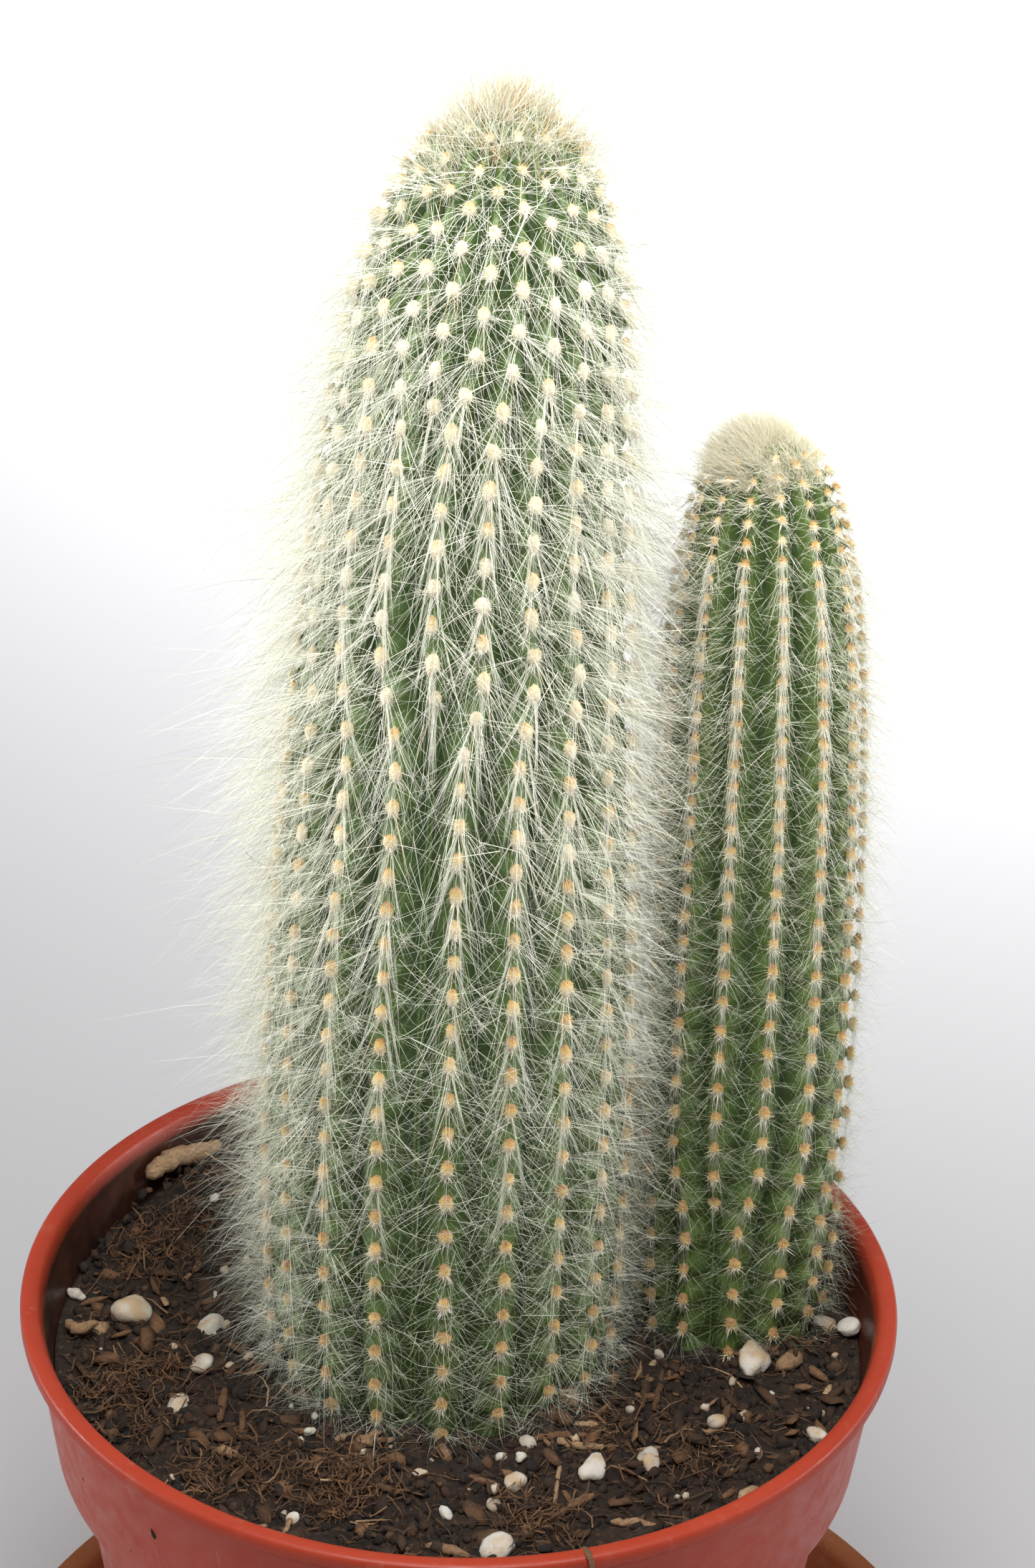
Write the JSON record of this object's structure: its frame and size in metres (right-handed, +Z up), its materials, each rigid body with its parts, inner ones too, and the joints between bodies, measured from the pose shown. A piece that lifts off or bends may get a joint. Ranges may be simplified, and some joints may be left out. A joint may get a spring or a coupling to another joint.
{
  "type": "potted espostoa cactus",
  "caption": "Woolly columnar cactus with a tall and a short ribbed stem, in potting soil in a round plastic pot on a clay saucer.",
  "frame": {"origin": "middle of the saucer's underside, on the surface it stands on", "axes": "+Z up along the stems, -Y towards the viewer, +X towards the shorter stem"},
  "size_m": [0.148, 0.148, 0.2719],
  "materials": {
    "terracotta_clay": "fired clay, matte and a little dusty",
    "pot_plastic": "moulded plastic with a soft sheen",
    "potting_soil": "loose dark soil with bark fibres and white perlite",
    "cactus": "green skin under fine white hair and cream wool"
  },
  "bodies": {
    "root": {"saucer": "terracotta_clay", "pot": "pot_plastic", "soil": "potting_soil", "stem_main": "cactus", "stem_side": "cactus"}
  },
  "joints": []
}
